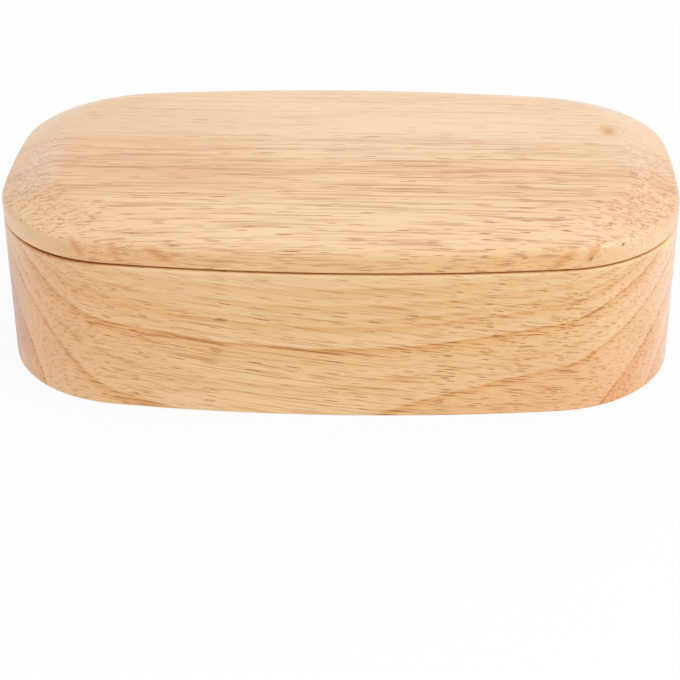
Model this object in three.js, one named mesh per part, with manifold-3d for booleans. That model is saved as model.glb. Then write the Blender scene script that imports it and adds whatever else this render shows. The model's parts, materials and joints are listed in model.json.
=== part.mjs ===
// Wooden bento box: a hollowed hardwood body, a bevelled lift-off lid with a seal ring, and a loose divider.
// Millimetres, +Z up. The origin is the middle of the base and the long side runs along X.
import * as THREE from 'three';
import { mergeVertices } from 'three/addons/utils/BufferGeometryUtils.js';
import Module from 'manifold-3d';

const wasm = await Module();
wasm.setup();

// Plan outline: bowed sides and ends joined by round corners
const boxLength = 220;
const boxWidth = 130;
const sideRadius = 540;
const endRadius = 310;
const cornerRadius = 44;

// Body, milled from one block
const bodyHeight = 50.5;
const wallThickness = 9.5;
const floorThickness = 8;
const coveRadius = 10; // between the pocket's wall and its floor
const baseEase = 1.2;
const rimEase = 0.8;
const ledgeEase = 0.8;

// Rebate in the rim, with the ledge that carries the lid
const rimWidth = 4.5;
const rebateDepth = 5.5;

// Lid: a board with an upright edge band, a soft bevel and a plug below
const lidThickness = 12.8; // from the seam to the flat top
const bandHeight = 6.7;
const bevelWidth = 14.5;
const bevelEase = 18; // where the bevel runs into the flat top
const bandEase = 2.2; // where the bevel meets the edge band
const lidEase = 0.4;
const plugEase = 0.8;
const plugClearance = 0.5; // all round, between the plug and the rebate
const seamGap = 0.6; // open line between the rim and the lid

// Seal ring in the plug's wall
const sealDiameter = 2.4;
const sealFit = 0.1; // between the ring and what it lies against

// Divider across the pocket
const dividerPlace = 34; // its middle, from the box's middle towards +X
const dividerThickness = 5;
const dividerHeadroom = 0.6; // below the lid's plug
const dividerEase = 0.6;
const tongueReach = 2.2; // into each groove
const tongueLift = 6; // from the top of the cove to the tongue's lower end
const grooveClearance = 0.3;

// How finely round stretches are drawn
const chordTolerance = 0.08;
const sealSides = 10;
const easeSteps = 2;

// Heights and insets that pieces share
const ledgeHeight = bodyHeight - rebateDepth;
const lidUnderside = bodyHeight + seamGap;
const lidTop = lidUnderside + lidThickness;
const plugInset = rimWidth + plugClearance;
const sealInset = rimWidth + sealFit + sealDiameter / 2;
const sealHeight = (ledgeHeight + lidUnderside) / 2;
const grooveEnd = floorThickness + coveRadius + tongueLift - grooveClearance;

// Steps that keep an arc within the chord tolerance
function arcSteps(radius, angle) {
  const step = 2 * Math.acos(1 - Math.min(1, chordTolerance / radius));
  return Math.max(1, Math.ceil(angle / step));
}

// Half of the plan outline, as arcs that run on from the +X end anticlockwise to the -X end
function outlineArcs() {
  const endCentre = new THREE.Vector2(boxLength / 2 - endRadius, 0);
  const sideCentre = new THREE.Vector2(0, boxWidth / 2 - sideRadius);
  const endReach = endRadius - cornerRadius;
  const sideReach = sideRadius - cornerRadius;
  const apart = endCentre.clone().sub(sideCentre);
  const along = (sideReach ** 2 - endReach ** 2 + apart.lengthSq()) / (2 * apart.length());
  const across = Math.sqrt(sideReach ** 2 - along ** 2);
  const way = apart.normalize();
  const cornerCentre = new THREE.Vector2(
    sideCentre.x + along * way.x + across * way.y,
    sideCentre.y + along * way.y - across * way.x,
  );
  const endAngle = cornerCentre.clone().sub(endCentre).angle();
  const sideAngle = cornerCentre.clone().sub(sideCentre).angle();
  const mirrored = new THREE.Vector2(-cornerCentre.x, cornerCentre.y);
  return [
    { centre: endCentre, radius: endRadius, from: -endAngle, to: endAngle },
    { centre: cornerCentre, radius: cornerRadius, from: endAngle, to: sideAngle },
    { centre: sideCentre, radius: sideRadius, from: sideAngle, to: Math.PI - sideAngle },
    { centre: mirrored, radius: cornerRadius, from: Math.PI - sideAngle, to: Math.PI - endAngle },
  ];
}

const halfOutline = outlineArcs();

// Points of the plan outline drawn in by an inset, anticlockwise, with one at the middle of each arc
function outline(inset) {
  return [0, Math.PI].flatMap((turn) => halfOutline.flatMap(({ centre, radius, from, to }) => {
    const middle = centre.clone().rotateAround(new THREE.Vector2(), turn);
    const arc = new THREE.ArcCurve(middle.x, middle.y, radius - inset, from + turn, to + turn, false);
    return arc.getPoints(2 * arcSteps(radius, (to - from) / 2)).slice(0, -1);
  }));
}

// Half the width between the pocket's long walls at a distance from the middle
function pocketHalfWidth(place) {
  const radius = sideRadius - wallThickness;
  return boxWidth / 2 - sideRadius + Math.sqrt(radius ** 2 - place ** 2);
}

// An inset on a flat face, well inside a given one
function furtherIn(inset) {
  return (inset + cornerRadius) / 2;
}

// A section line through corners [inset, height, ease], each rounded by its ease
function easedProfile(corners) {
  return corners.flatMap(([inset, height, ease = 0], index) => {
    const corner = new THREE.Vector2(inset, height);
    if (ease === 0) {
      return [corner];
    }
    const before = new THREE.Vector2(...corners[index - 1]).sub(corner);
    const after = new THREE.Vector2(...corners[index + 1]).sub(corner);
    const turn = Math.PI - before.angleTo(after);
    const reach = Math.min(ease * Math.tan(turn / 2), before.length() / 2, after.length() / 2);
    const radius = reach / Math.tan(turn / 2);
    const inward = before.clone().normalize().add(after.clone().normalize()).normalize();
    const centre = corner.clone().addScaledVector(inward, radius / Math.cos(turn / 2));
    const start = corner.clone().addScaledVector(before.normalize(), reach);
    const sweep = Math.sign(before.cross(after)) * -turn;
    const steps = arcSteps(radius, turn);
    return Array.from({ length: steps + 1 }, (_, step) =>
      start.clone().rotateAround(centre, sweep * step / steps));
  });
}

// A closed solid with one ring of the plan outline for each point of a section line.
// An open line has its two end rings filled flat, and a closed line makes a hoop.
function sweptGeometry(profile, isHoop) {
  const rings = profile.map((point) => outline(point.x).map(({ x, y }) => [x, y, point.y]));
  const count = rings[0].length;
  const positions = rings.flat(2);
  const indices = [];
  const bands = isHoop ? rings.length : rings.length - 1;
  for (let band = 0; band < bands; band += 1) {
    const low = band * count;
    const high = ((band + 1) % rings.length) * count;
    for (let side = 0; side < count; side += 1) {
      const next = (side + 1) % count;
      indices.push(low + side, low + next, high + next, low + side, high + next, high + side);
    }
  }
  if (!isHoop) {
    const bottom = positions.length / 3;
    const last = bottom - count;
    positions.push(0, 0, profile[0].y, 0, 0, profile.at(-1).y);
    for (let side = 0; side < count; side += 1) {
      const next = (side + 1) % count;
      indices.push(bottom, next, side, bottom + 1, last + side, last + next);
    }
  }
  const geometry = new THREE.BufferGeometry();
  geometry.setAttribute('position', new THREE.Float32BufferAttribute(positions, 3));
  geometry.setIndex(indices);
  return geometry;
}

// A closed geometry as a solid that can be cut
function toSolid(geometry) {
  geometry.deleteAttribute('normal');
  geometry.deleteAttribute('uv');
  const merged = mergeVertices(geometry);
  return new wasm.Manifold(new wasm.Mesh({
    numProp: 3,
    vertProperties: merged.attributes.position.array,
    triVerts: Uint32Array.from(merged.index.array),
  }));
}

// A cut solid as a geometry again
function toGeometry(solid) {
  const mesh = solid.getMesh();
  const geometry = new THREE.BufferGeometry();
  geometry.setAttribute('position', new THREE.Float32BufferAttribute(mesh.vertProperties, 3));
  geometry.setIndex([...mesh.triVerts]);
  return geometry;
}

// Half the divider's span between the pocket's walls, without its tongues
function dividerHalfSpan() {
  return pocketHalfWidth(Math.abs(dividerPlace) + dividerThickness / 2 + grooveClearance) - grooveClearance;
}

// Outer wall, rim, rebate, ledge and coved pocket in one section, then the two upright grooves for the divider
function bodyGeometry() {
  const profile = easedProfile([
    [furtherIn(baseEase), 0],
    [0, 0, baseEase],
    [0, bodyHeight, rimEase],
    [rimWidth, bodyHeight, rimEase],
    [rimWidth, ledgeHeight],
    [wallThickness, ledgeHeight, ledgeEase],
    [wallThickness, floorThickness, coveRadius],
    [furtherIn(wallThickness + coveRadius), floorThickness],
  ]);
  const grooveWidth = dividerThickness + 2 * grooveClearance;
  const grooveSpan = 2 * (dividerHalfSpan() + tongueReach + grooveClearance);
  const grooveHeight = bodyHeight - grooveEnd;
  const grooves = new THREE.BoxGeometry(grooveWidth, grooveSpan, grooveHeight);
  grooves.translate(dividerPlace, 0, grooveEnd + grooveHeight / 2);
  return toGeometry(toSolid(sweptGeometry(profile, false)).subtract(toSolid(grooves)));
}

// Plug with the seal's groove, underside, edge band, bevel and flat top in one section
function lidGeometry() {
  const grooveInset = sealInset + sealDiameter / 2 + sealFit;
  const grooveReach = sealDiameter / 2 + sealFit;
  const profile = easedProfile([
    [furtherIn(plugInset), ledgeHeight],
    [plugInset, ledgeHeight, plugEase],
    [plugInset, sealHeight - grooveReach],
    [grooveInset, sealHeight - grooveReach],
    [grooveInset, sealHeight + grooveReach],
    [plugInset, sealHeight + grooveReach],
    [plugInset, lidUnderside],
    [0, lidUnderside, lidEase],
    [0, lidUnderside + bandHeight, bandEase],
    [bevelWidth, lidTop, bevelEase],
    [furtherIn(bevelWidth), lidTop],
  ]);
  return sweptGeometry(profile, false);
}

// Round-section ring that fills the plug's groove and meets the rebate's wall
function sealGeometry() {
  const section = Array.from({ length: sealSides }, (_, side) => {
    const angle = 2 * Math.PI * side / sealSides;
    const reach = sealDiameter / 2;
    return new THREE.Vector2(sealInset - reach * Math.cos(angle), sealHeight + reach * Math.sin(angle));
  });
  return sweptGeometry(section, true);
}

// Board that stands on the floor, with round lower corners over the cove and a tongue in each groove
function dividerGeometry() {
  const half = dividerHalfSpan();
  const top = ledgeHeight - dividerHeadroom;
  const shoulder = floorThickness + coveRadius + tongueLift;
  const corner = coveRadius + grooveClearance;
  const shape = new THREE.Shape();
  shape.moveTo(corner - half, floorThickness);
  shape.absarc(half - corner, floorThickness + corner, corner, -Math.PI / 2, 0, false);
  shape.lineTo(half, shoulder);
  shape.lineTo(half + tongueReach, shoulder);
  shape.lineTo(half + tongueReach, top);
  shape.lineTo(-half - tongueReach, top);
  shape.lineTo(-half - tongueReach, shoulder);
  shape.lineTo(-half, shoulder);
  shape.absarc(corner - half, floorThickness + corner, corner, Math.PI, 1.5 * Math.PI, false);
  const geometry = new THREE.ExtrudeGeometry(shape, {
    depth: dividerThickness - 2 * dividerEase,
    curveSegments: Math.ceil(arcSteps(corner, Math.PI / 2) / 2),
    bevelThickness: dividerEase,
    bevelSize: dividerEase,
    bevelOffset: -dividerEase,
    bevelSegments: easeSteps,
  });
  const acrossBox = new THREE.Vector3(0, 1, 0);
  const upright = new THREE.Vector3(0, 0, 1);
  const alongBox = new THREE.Vector3(1, 0, 0);
  geometry.applyMatrix4(new THREE.Matrix4().makeBasis(acrossBox, upright, alongBox));
  geometry.translate(dividerPlace - dividerThickness / 2 + dividerEase, 0, 0);
  return geometry;
}

// Oiled pale hardwood
function woodMaterial(color) {
  return new THREE.MeshStandardMaterial({ color, roughness: 0.5, metalness: 0 });
}

// Food-grade silicone rubber
function siliconeMaterial() {
  return new THREE.MeshStandardMaterial({ color: 0xe9e6df, roughness: 0.6, metalness: 0 });
}

function addPiece(group, name, geometry, material) {
  const mesh = new THREE.Mesh(geometry, material);
  mesh.name = name;
  group.add(mesh);
}

const bentoBox = new THREE.Group();
addPiece(bentoBox, 'box_body', bodyGeometry(), woodMaterial(0xe6c193));
addPiece(bentoBox, 'lid', lidGeometry(), woodMaterial(0xebc79c));
addPiece(bentoBox, 'lid_seal', sealGeometry(), siliconeMaterial());
addPiece(bentoBox, 'divider', dividerGeometry(), woodMaterial(0xe8c598));

export default bentoBox;
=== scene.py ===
import json
import math
import bmesh
import bpy
from mathutils import Euler, Matrix, Vector

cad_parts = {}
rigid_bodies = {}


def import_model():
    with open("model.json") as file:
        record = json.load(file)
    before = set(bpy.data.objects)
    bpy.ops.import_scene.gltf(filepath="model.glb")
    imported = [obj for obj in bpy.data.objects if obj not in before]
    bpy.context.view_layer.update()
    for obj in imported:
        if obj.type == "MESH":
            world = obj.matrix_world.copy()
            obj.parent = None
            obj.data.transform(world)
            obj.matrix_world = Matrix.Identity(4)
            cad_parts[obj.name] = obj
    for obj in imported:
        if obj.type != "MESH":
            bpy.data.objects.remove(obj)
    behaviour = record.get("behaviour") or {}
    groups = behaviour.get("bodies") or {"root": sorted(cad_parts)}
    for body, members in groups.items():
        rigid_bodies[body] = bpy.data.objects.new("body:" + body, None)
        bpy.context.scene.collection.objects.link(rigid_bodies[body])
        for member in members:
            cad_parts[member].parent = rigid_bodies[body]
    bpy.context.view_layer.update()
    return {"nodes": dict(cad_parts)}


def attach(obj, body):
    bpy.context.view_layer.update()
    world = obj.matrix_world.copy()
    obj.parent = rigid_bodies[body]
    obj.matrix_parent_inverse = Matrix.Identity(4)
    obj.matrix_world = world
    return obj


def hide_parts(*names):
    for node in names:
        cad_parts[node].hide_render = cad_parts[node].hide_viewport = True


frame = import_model()
mm = 0.001
perMetre = (1000, 1000, 1000)  # mm in a metre, for patterns on object coordinates
print("frame loaded:", ", ".join(frame["nodes"]))


def linear(hexCode, alpha=1.0):
    # sRGB hex to the linear colour that sockets take
    parts = [int(hexCode[i:i + 2], 16) / 255 for i in (0, 2, 4)]
    return [c / 12.92 if c <= 0.04045 else ((c + 0.055) / 1.055) ** 2.4 for c in parts] + [alpha]


def addNode(tree, kind, sockets=None, **settings):
    # a node with its settings; each socket takes a value or another node's output
    node = tree.nodes.new("ShaderNode" + kind)
    for name, value in settings.items():
        setattr(node, name, value)
    for socket, value in (sockets or {}).items():
        if isinstance(value, bpy.types.NodeSocket):
            tree.links.new(value, node.inputs[socket])
        else:
            node.inputs[socket].default_value = value
    return node


def setStops(ramp, stops):
    # colour stops from a list of (place, colour)
    while len(ramp.elements) < len(stops):
        ramp.elements.new(1)
    for element, (place, colour) in zip(ramp.elements, stops):
        element.position = place
        element.color = colour


# Plan that body, lid and seal share: bowed ends and sides with round corners, in mm
plan = {
    "length": 220,
    "width": 130,
    "endRadius": 310,
    "sideRadius": 540,
    "cornerRadius": 44,
    "endSteps": 14,
    "cornerSteps": 40,
    "sideSteps": 36,
}

# How closely a place or a direction has to fit when edges and faces are picked
fit = {
    "place": 0.01,  # mm
    "weld": 0.001,  # mm
    "corner": 0.2,  # least turn between two faces, radians
    "along": 0.9,  # least share of a normal along its axis
    "across": 0.1,  # most of a normal along an axis that it crosses
}


def planArcs():
    # centre, sweep and steps of the eight arcs, anticlockwise from the lower corner of the right end
    endX = plan["length"] / 2 - plan["endRadius"]
    sideY = plan["width"] / 2 - plan["sideRadius"]
    endReach = plan["endRadius"] - plan["cornerRadius"]
    sideReach = plan["sideRadius"] - plan["cornerRadius"]
    # the corner's centre is where two circles about the other centres cross
    apart = math.hypot(endX, sideY)
    along = (sideReach ** 2 - endReach ** 2 + apart ** 2) / (2 * apart)
    across = math.sqrt(sideReach ** 2 - along ** 2)
    cornerX = along * endX / apart - across * sideY / apart
    cornerY = sideY - along * sideY / apart - across * endX / apart
    endTurn = math.atan2(cornerY, cornerX - endX)
    sideTurn = math.atan2(cornerY - sideY, cornerX)
    half = [
        (endX, 0, 2 * endTurn, plan["endSteps"]),
        (cornerX, cornerY, sideTurn - endTurn, plan["cornerSteps"]),
        (0, sideY, math.pi - 2 * sideTurn, plan["sideSteps"]),
        (-cornerX, cornerY, sideTurn - endTurn, plan["cornerSteps"]),
    ]
    return half + [(-x, -y, sweep, steps) for x, y, sweep, steps in half]


def planStart(inset):
    # where the right end's arc begins, drawn in by an inset, and its direction
    endX, _, sweep, _ = planArcs()[0]
    reach = plan["endRadius"] - inset
    return endX + reach * math.cos(sweep / 2), -reach * math.sin(sweep / 2), -sweep / 2


def goRound():
    # spins what is selected along the plan, arc by arc, and closes the seam
    for centreX, centreY, sweep, steps in planArcs():
        bpy.ops.mesh.spin(steps=steps, angle=-sweep, center=(centreX * mm, centreY * mm, 0), axis=(0, 0, 1))
    bpy.ops.mesh.select_all(action="SELECT")
    bpy.ops.mesh.remove_doubles(threshold=fit["place"] * mm)


def newPiece(name):
    # the primitive just added becomes the piece, open in edit mode
    piece = bpy.context.object
    piece.name = piece.data.name = name
    bpy.ops.object.mode_set(mode="EDIT")
    bpy.ops.mesh.select_mode(type="VERT")
    bpy.ops.mesh.select_all(action="SELECT")
    return piece


def newBlock(name, size, middle):
    # a cube drawn out to its size and place in mm, open in edit mode
    bpy.ops.object.select_all(action="DESELECT")
    bpy.ops.mesh.primitive_cube_add(size=mm)
    piece = newPiece(name)
    bpy.ops.transform.resize(value=size)
    bpy.ops.transform.translate(value=[v * mm for v in middle])
    return piece


def planFace(name, height):
    # one point, spun round the plan and filled
    bpy.ops.object.select_all(action="DESELECT")
    bpy.ops.mesh.primitive_plane_add(size=mm)
    piece = newPiece(name)
    bpy.ops.mesh.merge(type="CENTER")
    x, y, _ = planStart(0)
    bpy.ops.transform.translate(value=(x * mm, y * mm, height * mm))
    goRound()
    bpy.ops.mesh.edge_face_add()
    return piece


def rise(height):
    bpy.ops.mesh.extrude_region_move(TRANSFORM_OT_translate={"value": (0, 0, height * mm)})


def pickFaces(test):
    # selects the faces whose middle (mm) and normal pass a test
    bpy.ops.mesh.select_mode(type="FACE")
    bpy.ops.mesh.select_all(action="DESELECT")
    data = bpy.context.object.data
    mesh = bmesh.from_edit_mesh(data)
    for face in mesh.faces:
        if test(face.calc_center_median() / mm, face.normal):
            face.select_set(True)
    bmesh.update_edit_mesh(data)


def pickEdges(height, test):
    # selects the edges that lie at a height (mm) and pass a test
    bpy.ops.mesh.select_mode(type="EDGE")
    bpy.ops.mesh.select_all(action="DESELECT")
    data = bpy.context.object.data
    mesh = bmesh.from_edit_mesh(data)
    for edge in mesh.edges:
        if all(abs(v.co.z / mm - height) < fit["place"] for v in edge.verts) and test(edge):
            edge.select_set(True)
    bmesh.update_edit_mesh(data)


def roundOff(reach, steps):
    # rounds the selected edges
    bpy.ops.mesh.bevel(offset_type="OFFSET", offset=reach * mm, segments=steps, profile=0.5,
                       affect="EDGES", clamp_overlap=False)


def faceOutward():
    bpy.ops.mesh.select_all(action="SELECT")
    bpy.ops.mesh.normals_make_consistent(inside=False)


def easeEdges(height, convex, reach, steps):
    # rounds the loop of edges that lies at a height, on an outer or an inner corner
    faceOutward()
    pickEdges(height, lambda edge: len(edge.link_faces) == 2 and edge.is_convex == convex
              and edge.calc_face_angle() > fit["corner"])
    roundOff(reach, steps)


def closePiece():
    # doubles merged, normals outward, back in object mode
    bpy.ops.mesh.select_all(action="SELECT")
    bpy.ops.mesh.remove_doubles(threshold=fit["weld"] * mm)
    faceOutward()
    bpy.ops.object.mode_set(mode="OBJECT")


def finishPiece(piece, angle=40):
    # smooth shading with the real corners kept, broad faces shaded flat
    closePiece()
    bpy.ops.object.shade_smooth_by_angle(angle=math.radians(angle))
    flat = piece.modifiers.new("broadFaces", "WEIGHTED_NORMAL")
    flat.keep_sharp = True
    bpy.ops.object.modifier_apply(modifier=flat.name)


# Body: outer wall, rim with its rebate, coved pocket, two grooves for the divider
bodySize = {
    "height": 50.5,
    "rimWidth": 4.5,
    "rebate": 5.5,
    "wall": 9.5,
    "floor": 8,
    "cove": 10,
    "coveSteps": 10,
    "baseEase": 1.2,
    "rimEase": 0.8,
    "easeSteps": 4,
    "ledgeEase": 0.8,
    "ledgeSteps": 3,
}
ledge = bodySize["height"] - bodySize["rebate"]

# Divider: a thin board with round lower corners and a tongue at each end
dividerSize = {
    "place": 34,
    "thick": 5,
    "headroom": 0.6,
    "tongue": 2.2,
    "tongueLift": 6,
    "play": 0.3,
    "cornerSteps": 10,
    "ease": 0.6,
    "easeSteps": 3,
    "easeAngle": 30,
}
shoulder = bodySize["floor"] + bodySize["cove"] + dividerSize["tongueLift"]


def dividerSpan():
    # half its length between the pocket's long walls
    reach = plan["sideRadius"] - bodySize["wall"]
    place = dividerSize["place"] + dividerSize["thick"] / 2 + dividerSize["play"]
    wall = plan["width"] / 2 - plan["sideRadius"] + math.sqrt(reach ** 2 - place ** 2)
    return wall - dividerSize["play"]


def makeBody():
    piece = planFace("boxBody", 0)
    rise(bodySize["height"])
    bpy.ops.mesh.inset(thickness=bodySize["rimWidth"] * mm, depth=0)
    rise(-bodySize["rebate"])
    bpy.ops.mesh.inset(thickness=(bodySize["wall"] - bodySize["rimWidth"]) * mm, depth=0)
    rise(bodySize["floor"] - ledge)
    easeEdges(0, True, bodySize["baseEase"], bodySize["easeSteps"])
    easeEdges(bodySize["height"], True, bodySize["rimEase"], bodySize["easeSteps"])
    easeEdges(ledge, True, bodySize["ledgeEase"], bodySize["ledgeSteps"])
    easeEdges(bodySize["floor"], False, bodySize["cove"], bodySize["coveSteps"])
    bpy.ops.object.mode_set(mode="OBJECT")
    # grooves, cut by one bar through both long walls
    play = dividerSize["play"]
    low, top = shoulder - play, bodySize["height"]
    wide = dividerSize["thick"] + 2 * play
    long = 2 * (dividerSpan() + dividerSize["tongue"] + play)
    bar = newBlock("grooveBar", (wide, long, top - low), (dividerSize["place"], 0, (top + low) / 2))
    bpy.ops.object.mode_set(mode="OBJECT")
    bpy.context.view_layer.objects.active = piece
    cut = piece.modifiers.new("grooves", "BOOLEAN")
    cut.object = bar
    cut.operation = "DIFFERENCE"
    cut.solver = "EXACT"
    bpy.ops.object.modifier_apply(modifier=cut.name)
    bpy.data.objects.remove(bar)
    bpy.ops.object.mode_set(mode="EDIT")
    finishPiece(piece)
    return piece


body = makeBody()
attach(body, "box")
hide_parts("box_body")
print("body:", len(body.data.polygons), "faces")


# Lid: upright band, soft bevel to a flat top, plug below with the seal's groove
lidSize = {
    "gap": 0.6,
    "thick": 12.8,
    "band": 6.7,
    "bevel": 14.5,
    "topEase": 18,
    "topSteps": 8,
    "bandEase": 2.2,
    "bandSteps": 6,
    "edgeEase": 0.4,
    "edgeSteps": 3,
    "plugEase": 0.8,
    "plugSteps": 3,
    "plugPlay": 0.5,
}

# Seal: a round ring in the plug's groove
sealSize = {
    "diameter": 2.4,
    "fit": 0.1,
    "sides": 20,
    "smooth": 60,  # degrees
}
underside = bodySize["height"] + lidSize["gap"]
lidTop = underside + lidSize["thick"]
plugInset = bodySize["rimWidth"] + lidSize["plugPlay"]
sealInset = bodySize["rimWidth"] + sealSize["fit"] + sealSize["diameter"] / 2
sealHeight = (ledge + underside) / 2


def makeLid():
    piece = planFace("lidBoard", underside)
    rise(lidSize["band"])
    climb = lidSize["thick"] - lidSize["band"]
    bpy.ops.mesh.inset(thickness=lidSize["bevel"] * mm, depth=0)
    bpy.ops.transform.translate(value=(0, 0, climb * mm))
    pickFaces(lambda middle, normal: abs(middle.z - underside) < fit["place"]
              and abs(normal.z) > fit["along"])
    bpy.ops.mesh.inset(thickness=plugInset * mm, depth=0)
    rise(ledge - underside)
    # seal groove, let into the plug's wall
    groove = sealSize["diameter"] / 2 + sealSize["fit"]
    for height in (sealHeight - groove, sealHeight + groove):
        pickFaces(lambda middle, normal: ledge < middle.z < underside and abs(normal.z) < fit["across"])
        bpy.ops.mesh.bisect(plane_co=(0, 0, height * mm), plane_no=(0, 0, 1))
    faceOutward()
    pickFaces(lambda middle, normal: abs(middle.z - sealHeight) < groove and abs(normal.z) < fit["across"])
    depth = sealInset + groove - plugInset
    bpy.ops.mesh.extrude_region_shrink_fatten(TRANSFORM_OT_shrink_fatten={"value": -depth * mm})
    # eased corners: reach along each face for the radius wanted
    slope = math.atan2(climb, lidSize["bevel"])
    bandReach = lidSize["bandEase"] * math.tan((math.pi / 2 - slope) / 2)
    topReach = lidSize["topEase"] * math.tan(slope / 2)
    easeEdges(ledge, True, lidSize["plugEase"], lidSize["plugSteps"])
    easeEdges(underside, True, lidSize["edgeEase"], lidSize["edgeSteps"])
    easeEdges(underside + lidSize["band"], True, bandReach, lidSize["bandSteps"])
    easeEdges(lidTop, True, topReach, lidSize["topSteps"])
    finishPiece(piece)
    return piece


lid = makeLid()
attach(lid, "lid")
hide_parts("lid")
print("lid:", len(lid.data.polygons), "faces")


def makeSeal():
    # a small ring stood across the plan's start and spun round it
    x, y, turn = planStart(sealInset)
    bpy.ops.object.select_all(action="DESELECT")
    bpy.ops.mesh.primitive_circle_add(vertices=sealSize["sides"], radius=sealSize["diameter"] / 2 * mm)
    piece = newPiece("lidSeal")
    bpy.ops.transform.rotate(value=math.pi / 2, orient_axis="X", center_override=(0, 0, 0))
    bpy.ops.transform.rotate(value=-turn, orient_axis="Z", center_override=(0, 0, 0))
    bpy.ops.transform.translate(value=(x * mm, y * mm, sealHeight * mm))
    goRound()
    finishPiece(piece, sealSize["smooth"])
    return piece


seal = makeSeal()
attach(seal, "lid")
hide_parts("lid_seal")
print("seal:", len(seal.data.polygons), "faces")


def makeDivider():
    span = dividerSpan()
    low, top = bodySize["floor"], ledge - dividerSize["headroom"]
    piece = newBlock("dividerBoard", (dividerSize["thick"], 2 * span, top - low),
                     (dividerSize["place"], 0, (low + top) / 2))
    # tongues drawn out of the upper part of each end
    bpy.ops.mesh.select_all(action="SELECT")
    bpy.ops.mesh.bisect(plane_co=(0, 0, shoulder * mm), plane_no=(0, 0, 1))
    for side in (-1, 1):
        pickFaces(lambda middle, normal: middle.z > shoulder and normal.y * side > fit["along"])
        bpy.ops.mesh.extrude_region_move(
            TRANSFORM_OT_translate={"value": (0, side * dividerSize["tongue"] * mm, 0)})
    # lower corners rounded to pass over the cove
    pickEdges(low, lambda edge: abs(edge.verts[0].co.y - edge.verts[1].co.y) < fit["place"] * mm)
    roundOff(bodySize["cove"] + dividerSize["play"], dividerSize["cornerSteps"])
    closePiece()
    ease = piece.modifiers.new("ease", "BEVEL")
    ease.width = dividerSize["ease"] * mm
    ease.segments = dividerSize["easeSteps"]
    ease.limit_method = "ANGLE"
    ease.angle_limit = math.radians(dividerSize["easeAngle"])
    bpy.ops.object.modifier_apply(modifier=ease.name)
    bpy.ops.object.mode_set(mode="EDIT")
    finishPiece(piece)
    return piece


divider = makeDivider()
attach(divider, "divider")
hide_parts("divider")
print("divider:", len(divider.data.polygons), "faces")


# Rubberwood, planed, sanded and oiled: pale yellow to pink bands between growth rings, a thin brown line
# where each ring ends, short open vessels along the grain, and a satin sheen.
# One solid pattern runs through each block, so faces, ends and pocket match up. All lengths in mm.
woodFinish = {
    "waverLength": (70, 25, 25),  # along the grain, and across it both ways
    "cloudLength": (90, 14, 14),
    "bend": (0, 2, 2),  # how far fibres and vessels wander
    "noiseMiddle": 0.5,
    "ends": (70, 110),  # distance along the box where end grain begins, and is full
    "crossCut": (0.12, 0.42),  # how squarely a face cuts the grain, from and to
    "fibreTone": (-0.16, 0.6),  # between the fibre lines, and in them
    "ragged": 0.8,  # how much fibres break up the edge of a mark
    "markSoft": (1, 0.2),  # share of a mark's size where it begins, and is full
    "vesselCore": 0.6,  # share of a vessel that is open to the full
    "vesselSpread": 1.5,  # above 1, most vessels are shallow
    "vesselDrift": 1.5,  # how much vessels gather in the clouds of tone
    "gumDepth": (0.6, 0.95),  # depth of vessel where gum begins, and is full
    "gumColour": "6A2E00",
    "roughness": 0.4,
    "vesselRough": 0.2,
    "vesselDip": -0.3,
    "bump": (0.3, 0.06),  # strength, height
    "coat": (0.5, 0.25),  # oil film: weight, roughness
    "ior": 1.5,
}
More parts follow.
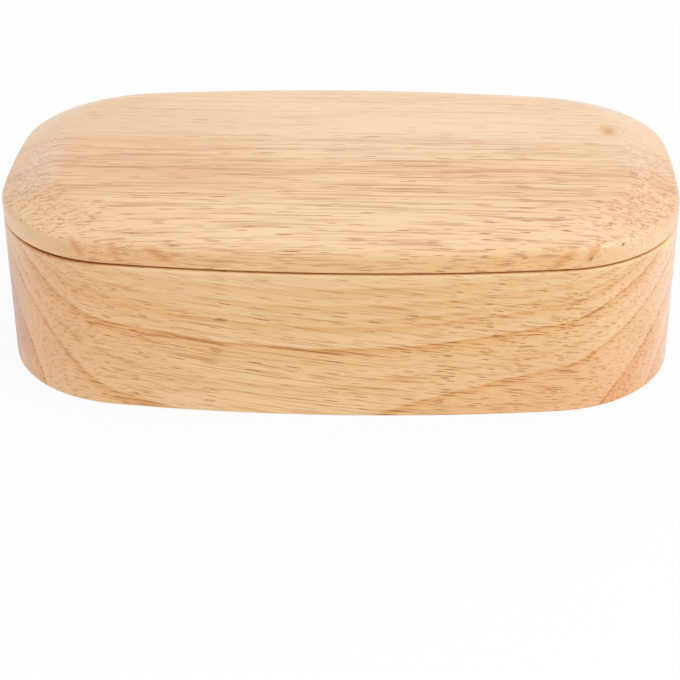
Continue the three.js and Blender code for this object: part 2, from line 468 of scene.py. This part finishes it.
bodyLook = {
    "colours": [  # tone from first growth to ring line
        (0.00, "F4CD9A"), (0.35, "ECBA7D"), (0.70, "DFA05C"), (0.92, "D18C45"), (1.00, "C27A35"),
    ],
    "turn": (0, -2.96, 2.91),  # lays the grain along X, degrees
    "vesselTurn": (0, -6.5, 1.2),
    "pith": (7.35, -15.77),  # where the rings' middle lies, Y and Z
    "reach": (0, 110),  # distances from the pith that the rings cover
    "crowd": 2.5,  # more of the ramp goes to the outer rings
    "rings": [  # distance from the pith, tone
        (0, .3), (30.8, .6), (31, .2), (50.8, .65), (51, .2), (55, .4), (60, .5), (62.4, .6), (62.9, .92),
        (63.1, .2), (69, .3), (72.3, .3), (72.8, .52), (73.4, .72), (73.6, .16), (75.5, .18), (76.9, .36),
        (78.4, .2), (80, .3), (82.4, .56), (82.9, .85), (83.1, .12), (85.2, .2), (86.8, .5), (87, .72),
        (87.2, .2), (88.5, .45), (88.7, .12), (91.2, .4), (91.4, .12), (94.5, .38), (94.6, .1),
    ],
    "waver": 3.2,  # how far the rings wander
    "fade": (84, 93, 0.6),  # from, to, share of the fine grain left beyond
    "fibre": (30, 1.2, 0.5),  # along the grain, into the wall, up the wall
    "fibreShade": 0.78,
    "fibreLines": (0.48, 0.7),  # noise that a line starts at, and is full at
    "calm": 0.7,  # fibre in first growth; the ring's tone adds to it
    "glint": 0.22,  # how much fibres darken beyond their tone
    "cloud": 0.5,
    "vessel": (12, 0.75, 0.48),  # spacing, the same three ways
    "vesselThick": 0.3,  # in parts of the spacing
    "vesselColour": "B06400",
    "gum": 0.6,  # how dark the deepest vessels are filled
    "vesselShade": (1.3, 0.6),  # in first growth, and added towards the ring line
    "endTintAndSheen": (1, 0.975, 1.15),  # end grain is pinker, and paler as a painted sheen where the ends are seen aslant
    "endCalm": -0.35,  # and its fibres are cut short
    "endFibre": 1,  # share of fibres and vessels that shows end-on
    "endVessel": 0.1,
    "marksAndPaintedLight": [  # place, size, lean in degrees, colour, strength, blend
        ((-76, -60, 30), (50, 60, 32), 0, "FBF1E9", 1, "MULTIPLY"),  # painted shade, darker and pinker to the left where less light falls
        # a little darker and pinker low at the right
        ((78, -55, 6), (50, 50, 26), 0, "FDF3F0", 1, "MULTIPLY"),
        ((104.3, -37.4, 49), (6, 9, 4), 0, "FFDC90", 0.8, "MIX"),  # painted highlight on the rim's eased edge at the right end
        ((0, 0, 50), (500, 500, 0.8), 0, "FFDCA8", 0.5, "MIX"),  # painted highlight along the rim's eased edge
        ((108, -16, 24), (16, 42, 42), 0, "FFE2C8", 0.25, "MIX"),  # painted light on the right end, which faces the key light, and painted shade on the left end
        ((-109, -16, 24), (16, 46, 46), 0, "CCC0BE", 1, "MULTIPLY"),
        # painted shade low at the left corner
        ((-104, -36, 12), (12, 20, 18), 0, "F4E8DC", 1, "MULTIPLY"),
        ((0, 0, 51.3), (500, 500, 1.3), 0, "E0AC50", 1, "MULTIPLY"),  # painted shade in the seam, over the rim top
        # painted shade, deeper in the seam at the front left
        ((-88, -52, 51), (36, 24, 2), 0, "C88C38", 1, "MULTIPLY"),
    ],
}
lidLook = {
    "colours": [
        (0.00, "F7D1A1"), (0.35, "EEBB89"), (0.70, "E0A26B"), (0.92, "D38C4E"), (1.00, "C47A3D"),
    ],
    "turn": (0, 0, 0.4),
    "vesselTurn": (0, 0, 0.4),
    "pith": (-1488.8, -120),
    "reach": (1435, 1565),
    "crowd": 1,
    "rings": [
        (1435, .06), (1449, .1), (1457, .16), (1462, .26), (1465, .22), (1468.5, .4), (1473, .22),
        (1479, .38), (1483, .5), (1487.5, .3), (1490, .38), (1492, .25), (1496, .2), (1499, .32), (1502, .15),
        (1505.9, .35), (1508, .1), (1512, .05), (1547, .1), (1565, .1),
    ],
    "waver": 4.8,
    "fade": (1492, 1516, 0.45),
    "fibre": (42, 0.75, 0.7),
    "fibreShade": 0.58,
    "fibreLines": (0.47, 0.67),
    "calm": 1.05,
    "glint": 0.2,
    "cloud": 0.35,
    "vessel": (12, 0.7, 0.45),
    "vesselThick": 0.3,
    "vesselColour": "B46C02",
    "gum": 0.2,
    "vesselShade": (1.25, 0.5),
    "endTintAndSheen": (0.98, 0.97, 0.97),
    "endCalm": -0.2,
    "endFibre": 0.4,
    "endVessel": 0.1,
    "marksAndPaintedLight": [
        ((89, 17, 63.5), (4.6, 7, 8), 0, "F4E4BE", 1, "MULTIPLY"),  # pin knot
        ((89.4, 16, 63.8), (2.4, 3.6, 4), 0, "F0DCB4", 1, "MULTIPLY"),
        ((0, 0, 50.3), (500, 500, 1.4), 0, "E0AC50", 1, "MULTIPLY"),  # painted shade in the seam, over the lid's underside
        ((-84, 5, 62), (74, 80, 24), 0, "F6EFE6", 1, "MULTIPLY"),  # painted shade towards the left end, away from the key light
        ((-106, 4, 59), (17, 60, 12), 0, "FFF0E6", 0.12, "MIX"),  # painted sheen on the left end bevel
        ((-97, -14, 62), (10, 30, 6), 0, "FFF0E6", 0.18, "MIX"),  # and painted sheen on the soft edges of the top
        ((94, -2, 62), (8, 24, 6), 0, "FFF0E6", 0.08, "MIX"),
        ((-5, -55, 61), (100, 13, 9), 0, "FFEADC", 0.07, "MIX"),  # painted highlight on the front edge of the top
        ((-20, -54, 61), (34, 11, 8), 0, "FFEADC", 0.08, "MIX"),
        ((-38, -22, 64), (40, 20, 6), 0, "F8F2EC", 1, "MULTIPLY"),  # browner patch on the top
        ((0, -63, 53.5), (260, 12, 5.5), 0, "F8EBDA", 1, "MULTIPLY"),  # heart-side streak at the front
        ((-72, -62, 54), (45, 14, 7), 0, "FCF3EC", 1, "MULTIPLY"),
        ((66, -62, 54), (45, 14, 7), 0, "FFFBF3", 1, "MULTIPLY"),
        ((-79, -58.5, 55.6), (5, 6, 1.9), 52, "F0D8C4", 1, "MULTIPLY"),  # short streaks, leaning
        ((-67, -60.6, 55.8), (5, 6, 1.9), 62, "F5E2D2", 1, "MULTIPLY"),
        ((-53, -62.4, 55.3), (7.5, 6, 2), 24, "F0D8BE", 1, "MULTIPLY"),
        ((70.5, -60.4, 55.1), (6, 6, 2.2), -36, "F4DAC2", 1, "MULTIPLY"),
        ((79, -58.5, 56.2), (5, 6, 2.1), -48, "F4DAC2", 1, "MULTIPLY"),
        ((88.3, -54.3, 57.1), (1.2, 1, 0.7), -40, "B08C68", 1, "MULTIPLY"),  # pin specks
        ((78.3, -58.8, 54.2), (1.2, 1, 0.7), -40, "B8946C", 1, "MULTIPLY"),
    ],
}
dividerLook = {
    "colours": lidLook["colours"],
    "turn": (0, 0, 90),
    "vesselTurn": (0, 0, 88),
    "pith": (-600, -80),
    "reach": (550, 700),
    "crowd": 1,
    "rings": [
        (550, .3), (571, .8), (571.6, .2), (590, .7), (590.6, .2), (612, .75), (612.6, .2), (640, .6),
        (700, .3),
    ],
    "waver": 6,
    "fade": (600, 640, 0.8),
    "fibre": (40, 0.8, 0.45),
    "fibreShade": 0.65,
    "fibreLines": (0.48, 0.7),
    "calm": 0.7,
    "glint": 0.15,
    "cloud": 0.5,
    "vessel": (14, 0.9, 0.5),
    "vesselThick": 0.32,
    "vesselColour": "AE6600",
    "gum": 0.4,
    "vesselShade": (0.7, 0.4),
    "endTintAndSheen": (1, 1, 1),
    "endCalm": 0,
    "endFibre": 1,
    "endVessel": 0.1,
    "marksAndPaintedLight": [],
}


def rubberwood(name, look):
    wood = woodFinish
    material = bpy.data.materials.new(name)
    material.use_nodes = True
    tree = material.node_tree
    tree.nodes.clear()
    low, high = look["reach"]
    spot = addNode(tree, "TexCoord")
    centre = (0, -look["pith"][0], -look["pith"][1])
    grain = addNode(tree, "Mapping", {
        "Vector": spot.outputs["Object"], "Location": centre, "Scale": perMetre,
        "Rotation": [math.radians(a) for a in look["turn"]]})
    # slow waver of the rings
    slow = addNode(tree, "VectorMath", {0: grain.outputs[0], 1: [1 / n for n in wood["waverLength"]]},
                   operation="MULTIPLY")
    waver = addNode(tree, "TexNoise", {"Vector": slow.outputs[0], "Scale": 1, "Detail": 3})
    even = addNode(tree, "VectorMath", {0: waver.outputs["Color"], 1: [wood["noiseMiddle"]] * 3},
                   operation="SUBTRACT")
    shifted = addNode(tree, "VectorMath", {
        0: even.outputs[0], 1: (0, look["waver"], look["waver"]), 2: grain.outputs[0]},
        operation="MULTIPLY_ADD")
    # distance from the pith gives the place in the rings
    across = addNode(tree, "VectorMath", {0: shifted.outputs[0], 1: (0, 1, 1)}, operation="MULTIPLY")
    radius = addNode(tree, "VectorMath", {0: across.outputs[0]}, operation="LENGTH")
    place = addNode(tree, "MapRange", {"Value": radius.outputs["Value"], "From Min": low, "From Max": high})
    crowded = addNode(tree, "Math", {0: place.outputs[0], 1: look["crowd"]}, operation="POWER")
    rings = addNode(tree, "ValToRGB", {"Fac": crowded.outputs[0]})
    setStops(rings.color_ramp, [
        (((distance - low) / (high - low)) ** look["crowd"], (tone, tone, tone, 1))
        for distance, tone in look["rings"]])
    # fibres run a little aslant of the rings, and are cut short towards the ends;
    # single ones are too fine to show, so each line stands for a bundle
    tilted = addNode(tree, "Mapping", {
        "Vector": spot.outputs["Object"], "Location": centre, "Scale": perMetre,
        "Rotation": [math.radians(a) for a in look["vesselTurn"]]})
    bent = addNode(tree, "VectorMath", {0: even.outputs[0], 1: wood["bend"], 2: tilted.outputs[0]},
                   operation="MULTIPLY_ADD")
    plain = addNode(tree, "SeparateXYZ", {"Vector": spot.outputs["Object"]})
    outward = addNode(tree, "Math", {0: plain.outputs["X"]}, operation="ABSOLUTE")
    begin, full = wood["ends"]
    ending = addNode(tree, "MapRange", {
        "Value": outward.outputs[0], "From Min": begin * mm, "From Max": full * mm},
        interpolation_type="SMOOTHSTEP")
    begin, full, left = look["fade"]
    fade = addNode(tree, "MapRange", {
        "Value": radius.outputs["Value"], "From Min": begin, "From Max": full, "To Min": 1, "To Max": left})
    fine = addNode(tree, "VectorMath", {0: bent.outputs[0], 1: look["fibre"]}, operation="DIVIDE")
    fibre = addNode(tree, "TexNoise", {"Vector": fine.outputs[0], "Scale": 1, "Detail": 2, "Roughness": 0.6})
    stray = addNode(tree, "Math", {0: fibre.outputs["Fac"], 1: wood["noiseMiddle"]}, operation="SUBTRACT")
    force = addNode(tree, "Math", {0: rings.outputs["Color"], 1: look["calm"]}, operation="ADD")
    short = addNode(tree, "Math", {0: ending.outputs[0], 1: look["endCalm"], 2: 1}, operation="MULTIPLY_ADD")
    clear = addNode(tree, "Math", {0: fade.outputs[0], 1: short.outputs[0]}, operation="MULTIPLY")
    along = addNode(tree, "Math", {0: force.outputs[0], 1: clear.outputs[0]}, operation="MULTIPLY")
    # upright faces that cut the grain across show only dots, most of them too fine to see
    facing = addNode(tree, "SeparateXYZ", {"Vector": spot.outputs["Normal"]})
    steep = addNode(tree, "Math", {0: facing.outputs["X"]}, operation="ABSOLUTE")
    upright = addNode(tree, "Math", {0: 1, 1: facing.outputs["Z"]}, operation="SUBTRACT")
    endOn = addNode(tree, "Math", {0: steep.outputs[0], 1: upright.outputs[0]}, operation="MULTIPLY")
    begin, full = wood["crossCut"]
    crossCut = addNode(tree, "MapRange", {"Value": endOn.outputs[0], "From Min": begin, "From Max": full},
                       interpolation_type="SMOOTHSTEP")
    specks = addNode(tree, "Math", {0: crossCut.outputs[0], 1: look["endFibre"] - 1, 2: 1},
                     operation="MULTIPLY_ADD")
    faded = addNode(tree, "Math", {0: along.outputs[0], 1: specks.outputs[0]}, operation="MULTIPLY")
    begin, full = look["fibreLines"]
    pale, deep = wood["fibreTone"]
    sharp = addNode(tree, "MapRange", {
        "Value": fibre.outputs["Fac"], "From Min": begin, "From Max": full, "To Min": pale, "To Max": deep},
        interpolation_type="SMOOTHSTEP")
    streak = addNode(tree, "Math", {0: sharp.outputs[0], 1: faded.outputs[0]}, operation="MULTIPLY")
    streaky = addNode(tree, "Math", {0: streak.outputs[0], 1: look["fibreShade"], 2: rings.outputs["Color"]},
                      operation="MULTIPLY_ADD")
    # broad clouds of tone
    wide = addNode(tree, "VectorMath", {0: grain.outputs[0], 1: [1 / n for n in wood["cloudLength"]]},
                   operation="MULTIPLY")
    cloud = addNode(tree, "TexNoise", {"Vector": wide.outputs[0], "Scale": 1, "Detail": 2})
    drift = addNode(tree, "Math", {0: cloud.outputs["Fac"], 1: wood["noiseMiddle"]}, operation="SUBTRACT")
    tone = addNode(tree, "Math", {0: drift.outputs[0], 1: look["cloud"], 2: streaky.outputs[0]},
                   operation="MULTIPLY_ADD", use_clamp=True)
    ramp = addNode(tree, "ValToRGB", {"Fac": tone.outputs[0]})
    setStops(ramp.color_ramp, [(at, linear(code)) for at, code in look["colours"]])
    sheen = addNode(tree, "Math", {0: streak.outputs[0], 1: -look["glint"], 2: 1}, operation="MULTIPLY_ADD")
    lively = addNode(tree, "VectorMath", {0: ramp.outputs["Color"], "Scale": sheen.outputs[0]},
                     operation="SCALE")
    # end grain's own tint, on the body also a painted sheen that pales the ends
    tintAndSheen = addNode(tree, "Mix", {"Factor": ending.outputs[0], 4: (1, 1, 1), 5: look["endTintAndSheen"]},
                   data_type="VECTOR")
    tinted = addNode(tree, "VectorMath", {0: lively.outputs[0], 1: tintAndSheen.outputs[1]}, operation="MULTIPLY")
    colour = tinted.outputs[0]
    # knots, stains and mineral streaks, and patches of painted shade and painted highlight, each a soft spot
    # in the block
    millimetres = addNode(tree, "VectorMath", {0: spot.outputs["Object"], 1: perMetre},
                          operation="MULTIPLY")
    begin, full = wood["markSoft"]
    for middle, size, lean, code, share, blend in look["marksAndPaintedLight"]:
        near = addNode(tree, "Mapping", {
            "Vector": millimetres.outputs[0], "Location": middle, "Rotation": (0, math.radians(lean), 0),
            "Scale": size}, vector_type="TEXTURE")
        reach = addNode(tree, "VectorMath", {0: near.outputs[0]}, operation="LENGTH")
        ragged = addNode(tree, "Math", {0: stray.outputs[0], 1: wood["ragged"], 2: reach.outputs["Value"]},
                         operation="MULTIPLY_ADD")
        spread = addNode(tree, "MapRange", {
            "Value": ragged.outputs[0], "From Min": begin, "From Max": full, "To Max": share},
            interpolation_type="SMOOTHSTEP")
        patchMix = addNode(tree, "Mix", {"Factor": spread.outputs[0], 6: colour, 7: linear(code)},
                        data_type="RGBA", blend_type=blend)
        colour = patchMix.outputs[2]
    # vessels: thin tubes along the grain that the surface cuts open, drawn at up to twice
    # their real 0.2 mm or so, which is too fine to show
    tubes = addNode(tree, "VectorMath", {0: bent.outputs[0], 1: look["vessel"]}, operation="DIVIDE")
    cells = addNode(tree, "TexVoronoi", {"Vector": tubes.outputs[0], "Scale": 1, "Randomness": 1})
    thick = look["vesselThick"]
    inside = addNode(tree, "MapRange", {
        "Value": cells.outputs["Distance"], "From Min": thick, "From Max": wood["vesselCore"] * thick},
        interpolation_type="SMOOTHSTEP")
    draw = addNode(tree, "SeparateColor", {"Color": cells.outputs["Color"]})
    depth = addNode(tree, "Math", {0: draw.outputs[0], 1: wood["vesselSpread"]}, operation="POWER")
    vessel = addNode(tree, "Math", {0: inside.outputs[0], 1: depth.outputs[0]}, operation="MULTIPLY")
    early, late = look["vesselShade"]
    season = addNode(tree, "Math", {0: rings.outputs["Color"], 1: late, 2: early}, operation="MULTIPLY_ADD")
    plenty = addNode(tree, "Math", {0: drift.outputs[0], 1: wood["vesselDrift"], 2: season.outputs[0]},
                     operation="MULTIPLY_ADD")
    some = addNode(tree, "Math", {0: plenty.outputs[0], 1: clear.outputs[0]}, operation="MULTIPLY")
    dots = addNode(tree, "Math", {0: crossCut.outputs[0], 1: look["endVessel"] - 1, 2: 1},
                   operation="MULTIPLY_ADD")
    seen = addNode(tree, "Math", {0: some.outputs[0], 1: dots.outputs[0]}, operation="MULTIPLY")
    shade = addNode(tree, "Math", {0: vessel.outputs[0], 1: seen.outputs[0]},
                    operation="MULTIPLY", use_clamp=True)
    opened = addNode(tree, "Mix", {"Factor": shade.outputs[0], 6: colour, 7: linear(look["vesselColour"])},
                     data_type="RGBA")
    # a few of the deepest hold dark gum
    begin, full = wood["gumDepth"]
    filled = addNode(tree, "MapRange", {
        "Value": vessel.outputs[0], "From Min": begin, "From Max": full, "To Max": look["gum"]})
    lined = addNode(tree, "Math", {0: filled.outputs[0], 1: clear.outputs[0]}, operation="MULTIPLY")
    dark = addNode(tree, "Math", {0: lined.outputs[0], 1: dots.outputs[0]}, operation="MULTIPLY")
    grainColour = addNode(tree, "Mix", {
        "Factor": dark.outputs[0], 6: opened.outputs[2], 7: linear(wood["gumColour"])}, data_type="RGBA")
    # satin oil film over the wood, a little rougher in the vessels
    rough = addNode(tree, "Math", {0: vessel.outputs[0], 1: wood["vesselRough"], 2: wood["roughness"]},
                    operation="MULTIPLY_ADD")
    relief = addNode(tree, "Math", {0: vessel.outputs[0], 1: wood["vesselDip"], 2: fibre.outputs["Fac"]},
                     operation="MULTIPLY_ADD")
    strength, height = wood["bump"]
    bump = addNode(tree, "Bump", {"Height": relief.outputs[0], "Strength": strength, "Distance": height * mm})
    weight, film = wood["coat"]
    surface = addNode(tree, "BsdfPrincipled", {
        "Base Color": grainColour.outputs[2], "Roughness": rough.outputs[0], "IOR": wood["ior"],
        "Normal": bump.outputs[0], "Coat Weight": weight, "Coat Roughness": film, "Coat IOR": wood["ior"]})
    addNode(tree, "OutputMaterial", {"Surface": surface.outputs[0]})
    return material


# Silicone rubber, moulded: milky, soft gloss, faint cloudiness
sealLook = {
    "cloudLength": 6,  # mm
    "colours": [(0.3, "E2DED4"), (0.7, "EFECE4")],
    "roughness": (0.45, 0.6),
    "ior": 1.41,
    "glow": (0.2, 1),  # share of light that goes under the skin, and how far, mm
}


def silicone(name, look):
    material = bpy.data.materials.new(name)
    material.use_nodes = True
    tree = material.node_tree
    tree.nodes.clear()
    spot = addNode(tree, "TexCoord")
    size = addNode(tree, "Mapping", {"Vector": spot.outputs["Object"], "Scale": perMetre})
    cloud = addNode(tree, "TexNoise", {
        "Vector": size.outputs[0], "Scale": 1 / look["cloudLength"], "Detail": 2})
    colour = addNode(tree, "ValToRGB", {"Fac": cloud.outputs["Fac"]})
    setStops(colour.color_ramp, [(at, linear(code)) for at, code in look["colours"]])
    smooth, matt = look["roughness"]
    rough = addNode(tree, "MapRange", {"Value": cloud.outputs["Fac"], "To Min": smooth, "To Max": matt})
    share, depth = look["glow"]
    surface = addNode(tree, "BsdfPrincipled", {
        "Base Color": colour.outputs[0], "Roughness": rough.outputs[0], "IOR": look["ior"],
        "Subsurface Weight": share, "Subsurface Scale": depth * mm})
    addNode(tree, "OutputMaterial", {"Surface": surface.outputs[0]})
    return material


for piece, material in (
    (body, rubberwood("rubberwoodBody", bodyLook)),
    (lid, rubberwood("rubberwoodLid", lidLook)),
    (divider, rubberwood("rubberwoodDivider", dividerLook)),
    (seal, silicone("siliconeMoulded", sealLook)),
):
    piece.data.materials.clear()
    piece.data.materials.append(material)
print("materials set")


# Studio, in metres: white floor that keeps a soft shadow, even light with more from the front right
studio = {
    "floorSize": 6,
    "paper": (0.88, 0.88, 0.88, 1),  # what the floor sends back to the box
    "shadowShare": 0.11,  # how much of the box's shadow shows on the floor
    "white": 1,  # strength that shows as white
    "sky": 0.815,  # strength of the even light
    "aim": (0, 0, 0.03),  # where the lamps point
    "lamps": [  # name, place, size, watts
        ("keySoftbox", (1.1, -0.6, 0.8), 0.8, 5.65),
        ("backSoftbox", (0, 1.5, 0.8), 1.4, 0.8),
    ],
}


def shownWhite(tree):
    # 1 where the background is looked at, straight or in a reflection, and 0 where it lights the box
    ray = addNode(tree, "LightPath")
    clear = addNode(tree, "Math", {0: ray.outputs["Is Glossy Ray"], 1: ray.outputs["Is Transmission Ray"]},
                    operation="MAXIMUM")
    shown = addNode(tree, "Math", {0: ray.outputs["Is Camera Ray"], 1: clear.outputs[0]}, operation="MAXIMUM")
    return shown.outputs[0]


def makeFloor():
    bpy.ops.object.select_all(action="DESELECT")
    bpy.ops.mesh.primitive_grid_add(x_subdivisions=4, y_subdivisions=4, size=studio["floorSize"])
    floor = bpy.context.object
    floor.name = "studioFloor"
    material = bpy.data.materials.new("floorPaper")
    material.use_nodes = True
    tree = material.node_tree
    tree.nodes.clear()
    shown = shownWhite(tree)
    paper = addNode(tree, "BsdfDiffuse", {"Color": studio["paper"]})
    bright = addNode(tree, "BsdfDiffuse", {"Color": (1, 1, 1, 1)})
    glow = addNode(tree, "Emission", {"Strength": studio["white"]})
    white = addNode(tree, "MixShader", {
        "Fac": studio["shadowShare"], 1: glow.outputs[0], 2: bright.outputs[0]})
    cover = addNode(tree, "MixShader", {"Fac": shown, 1: paper.outputs[0], 2: white.outputs[0]})
    addNode(tree, "OutputMaterial", {"Surface": cover.outputs[0]})
    floor.data.materials.append(material)


def makeLight():
    world = bpy.data.worlds.new("studioWorld")
    bpy.context.scene.world = world
    world.use_nodes = True
    tree = world.node_tree
    tree.nodes.clear()
    level = addNode(tree, "MapRange", {
        "Value": shownWhite(tree), "To Min": studio["sky"], "To Max": studio["white"]})
    sky = addNode(tree, "Background", {"Color": (1, 1, 1, 1), "Strength": level.outputs[0]})
    addNode(tree, "OutputWorld", {"Surface": sky.outputs[0]})
    for name, place, size, watts in studio["lamps"]:
        bpy.ops.object.light_add(type="AREA", location=place)
        lamp = bpy.context.object
        lamp.name = name
        lamp.data.size = size
        lamp.data.energy = watts
        aim = Vector(studio["aim"]) - Vector(place)
        lamp.rotation_euler = aim.to_track_quat("-Z", "Y").to_euler()


# Camera at the photograph's place: mm and degrees about a point above the middle of the base
cameraPlace = {
    "aimHeight": 30,
    "distance": 623.27,
    "pitch": 26.607,
    "turn": 2.497,
    "roll": -0.35,
    "frame": 680,  # side of the picture in pixels
    "focal": 1832.8,  # in those pixels
    "centre": (342.54, 239.78),  # pixel where that point shows
    "sensor": 36,
    "clip": (0.01, 50),  # metres
}


def makeCamera():
    view = cameraPlace
    pitch, turn = math.radians(view["pitch"]), math.radians(view["turn"])
    half = view["frame"] / 2
    data = bpy.data.cameras.new("photoCamera")
    camera = bpy.data.objects.new("photoCamera", data)
    bpy.context.scene.collection.objects.link(camera)
    data.sensor_width = view["sensor"]
    data.lens = view["sensor"] * view["focal"] / view["frame"]
    data.clip_start, data.clip_end = view["clip"]
    data.shift_x = (half - view["centre"][0]) / view["frame"]
    away = Vector((math.cos(pitch) * math.sin(turn), -math.cos(pitch) * math.cos(turn), math.sin(pitch)))
    camera.location = Vector((0, 0, view["aimHeight"] * mm)) + away * view["distance"] * mm
    # the box stands above the middle of the picture, so the camera looks further down
    down = pitch + math.atan((half - view["centre"][1]) / view["focal"])
    level = Euler((math.pi / 2 - down, 0, turn)).to_matrix()
    facing = level @ Matrix.Rotation(math.radians(view["roll"]), 3, "Z")
    camera.rotation_euler = facing.to_euler()
    bpy.context.scene.camera = camera


makeFloor()
makeLight()
makeCamera()
bpy.context.scene.view_settings.view_transform = "Standard"
print("studio set")
